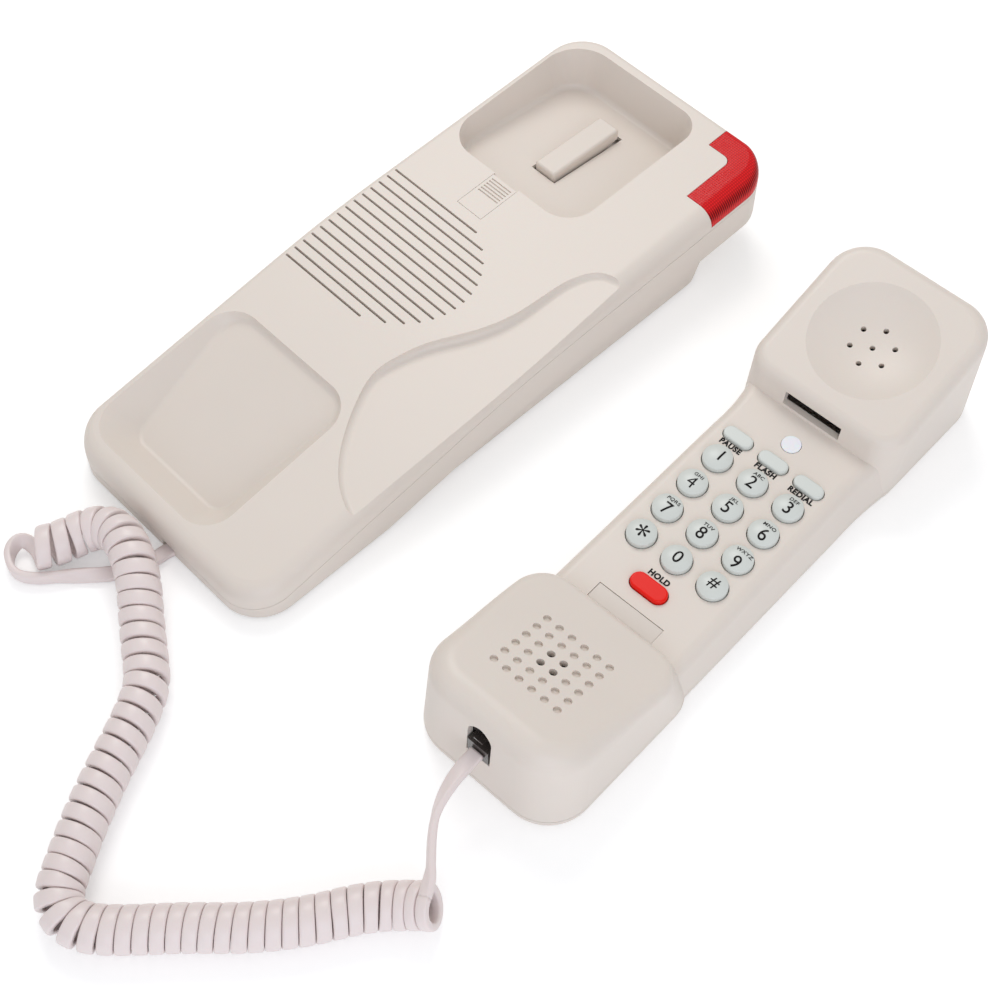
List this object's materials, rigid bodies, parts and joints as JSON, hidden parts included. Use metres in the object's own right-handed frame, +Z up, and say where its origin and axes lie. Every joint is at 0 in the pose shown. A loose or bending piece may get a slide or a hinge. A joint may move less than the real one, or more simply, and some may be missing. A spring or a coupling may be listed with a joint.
{
  "type": "slimline wall telephone",
  "caption": "Slimline push-button telephone: cradle with a wall plate, cordless-shaped handset with the keypad lying beside it, and a curly cord between them.",
  "frame": {"origin": "middle of the cradle on the table that it lies on", "axes": "+X from the cradle towards the handset beside it, +Y along the cradle from the cord end to the ear end, +Z up from the table"},
  "size_m": [0.1985, 0.328, 0.0414],
  "materials": {
    "ivory_plastic": "satin moulded",
    "key_plastic": "satin moulded",
    "hold_key_plastic": "satin moulded",
    "lamp_red": "translucent, smooth",
    "led_red": "diffused",
    "status_white": "translucent, smooth",
    "smoked_plug": "smoked translucent, smooth",
    "jack_black": "moulded",
    "cord_vinyl": "satin vinyl",
    "board_laminate": "laminate",
    "steel": "zinc plated",
    "soft_rubber": "moulded",
    "dark_plastic": "moulded",
    "card_paper": "paper",
    "clear_window": "clear smooth"
  },
  "bodies": {
    "cradle": {"base_top_cover": "ivory_plastic", "base_bottom_cover": "ivory_plastic", "wall_bracket": "ivory_plastic", "hook_pivot_pin": "steel", "hook_spring": "steel", "hook_switch": "jack_black", "message_lamp_lens": "lamp_red", "message_lamp_board": "board_laminate", "message_lamp_led": "led_red", "base_circuit_board": "board_laminate", "ballast_plate": "steel", "ringer": "dark_plastic", "rubber_feet": "soft_rubber", "base_screws": "steel", "line_jack": "jack_black", "base_plug": "smoked_plug", "base_cord_jack": "jack_black", "curly_cord": "cord_vinyl", "cord_lead_base": "cord_vinyl"},
    "hook_lever": {"hook_lever": "ivory_plastic"},
    "handset_tab": {"handset_tab": "ivory_plastic"},
    "handset": {"handset_front_shell": "ivory_plastic", "handset_back_shell": "ivory_plastic", "status_lamp_lens": "status_white", "number_card": "card_paper", "card_window": "clear_window", "keypad_membrane": "soft_rubber", "handset_circuit_board": "board_laminate", "receiver_capsule": "dark_plastic", "microphone_capsule": "dark_plastic", "handset_screws": "steel", "handset_plug": "smoked_plug", "handset_jack": "jack_black", "cord_lead_handset": "cord_vinyl"},
    "key_1": {"key_1": "key_plastic"},
    "key_2": {"key_2": "key_plastic"},
    "key_3": {"key_3": "key_plastic"},
    "key_4": {"key_4": "key_plastic"},
    "key_5": {"key_5": "key_plastic"},
    "key_6": {"key_6": "key_plastic"},
    "key_7": {"key_7": "key_plastic"},
    "key_8": {"key_8": "key_plastic"},
    "key_9": {"key_9": "key_plastic"},
    "key_star": {"key_star": "key_plastic"},
    "key_0": {"key_0": "key_plastic"},
    "key_hash": {"key_hash": "key_plastic"},
    "key_pause": {"key_pause": "key_plastic"},
    "key_flash": {"key_flash": "key_plastic"},
    "key_redial": {"key_redial": "key_plastic"},
    "key_hold": {"key_hold": "hold_key_plastic"}
  },
  "joints": [
    {"name": "hook_press", "type": "hinge", "parent": "cradle", "child": "hook_lever", "pos_m": [-0.0129, 0.061, 0.0176], "axis": [-1, 0, 0], "range_deg": [0, 6.5], "stiffness_Nm_per_rad": 0.02, "springref_deg": -20.05},
    {"name": "hanger_tab_slide", "type": "slide", "parent": "cradle", "child": "handset_tab", "axis": [0, 0.9992, 0.0401], "range_m": [0, 0.016]},
    {"name": "handset_lift", "type": "slide", "parent": "cradle", "child": "handset", "axis": [0, 0, 1], "range_m": [0, 0.06]},
    {"name": "key_1_press", "type": "slide", "parent": "handset", "child": "key_1", "axis": [-0.0019, 0.0323, -0.9995], "range_m": [0, 0.0012], "stiffness_N_per_m": 350},
    {"name": "key_2_press", "type": "slide", "parent": "handset", "child": "key_2", "axis": [-0.0019, 0.0323, -0.9995], "range_m": [0, 0.0012], "stiffness_N_per_m": 350},
    {"name": "key_3_press", "type": "slide", "parent": "handset", "child": "key_3", "axis": [-0.0019, 0.0323, -0.9995], "range_m": [0, 0.0012], "stiffness_N_per_m": 350},
    {"name": "key_4_press", "type": "slide", "parent": "handset", "child": "key_4", "axis": [-0.0019, 0.0323, -0.9995], "range_m": [0, 0.0012], "stiffness_N_per_m": 350},
    {"name": "key_5_press", "type": "slide", "parent": "handset", "child": "key_5", "axis": [-0.0019, 0.0323, -0.9995], "range_m": [0, 0.0012], "stiffness_N_per_m": 350},
    {"name": "key_6_press", "type": "slide", "parent": "handset", "child": "key_6", "axis": [-0.0019, 0.0323, -0.9995], "range_m": [0, 0.0012], "stiffness_N_per_m": 350},
    {"name": "key_7_press", "type": "slide", "parent": "handset", "child": "key_7", "axis": [-0.0019, 0.0323, -0.9995], "range_m": [0, 0.0012], "stiffness_N_per_m": 350},
    {"name": "key_8_press", "type": "slide", "parent": "handset", "child": "key_8", "axis": [-0.0019, 0.0323, -0.9995], "range_m": [0, 0.0012], "stiffness_N_per_m": 350},
    {"name": "key_9_press", "type": "slide", "parent": "handset", "child": "key_9", "axis": [-0.0019, 0.0323, -0.9995], "range_m": [0, 0.0012], "stiffness_N_per_m": 350},
    {"name": "key_star_press", "type": "slide", "parent": "handset", "child": "key_star", "axis": [-0.0019, 0.0323, -0.9995], "range_m": [0, 0.0012], "stiffness_N_per_m": 350},
    {"name": "key_0_press", "type": "slide", "parent": "handset", "child": "key_0", "axis": [-0.0019, 0.0323, -0.9995], "range_m": [0, 0.0012], "stiffness_N_per_m": 350},
    {"name": "key_hash_press", "type": "slide", "parent": "handset", "child": "key_hash", "axis": [-0.0019, 0.0323, -0.9995], "range_m": [0, 0.0012], "stiffness_N_per_m": 350},
    {"name": "key_pause_press", "type": "slide", "parent": "handset", "child": "key_pause", "axis": [-0.0019, 0.0323, -0.9995], "range_m": [0, 0.0012], "stiffness_N_per_m": 350},
    {"name": "key_flash_press", "type": "slide", "parent": "handset", "child": "key_flash", "axis": [-0.0019, 0.0323, -0.9995], "range_m": [0, 0.0012], "stiffness_N_per_m": 350},
    {"name": "key_redial_press", "type": "slide", "parent": "handset", "child": "key_redial", "axis": [-0.0019, 0.0323, -0.9995], "range_m": [0, 0.0012], "stiffness_N_per_m": 350},
    {"name": "key_hold_press", "type": "slide", "parent": "handset", "child": "key_hold", "axis": [-0.0019, 0.0323, -0.9995], "range_m": [0, 0.0012], "stiffness_N_per_m": 350}
  ]
}
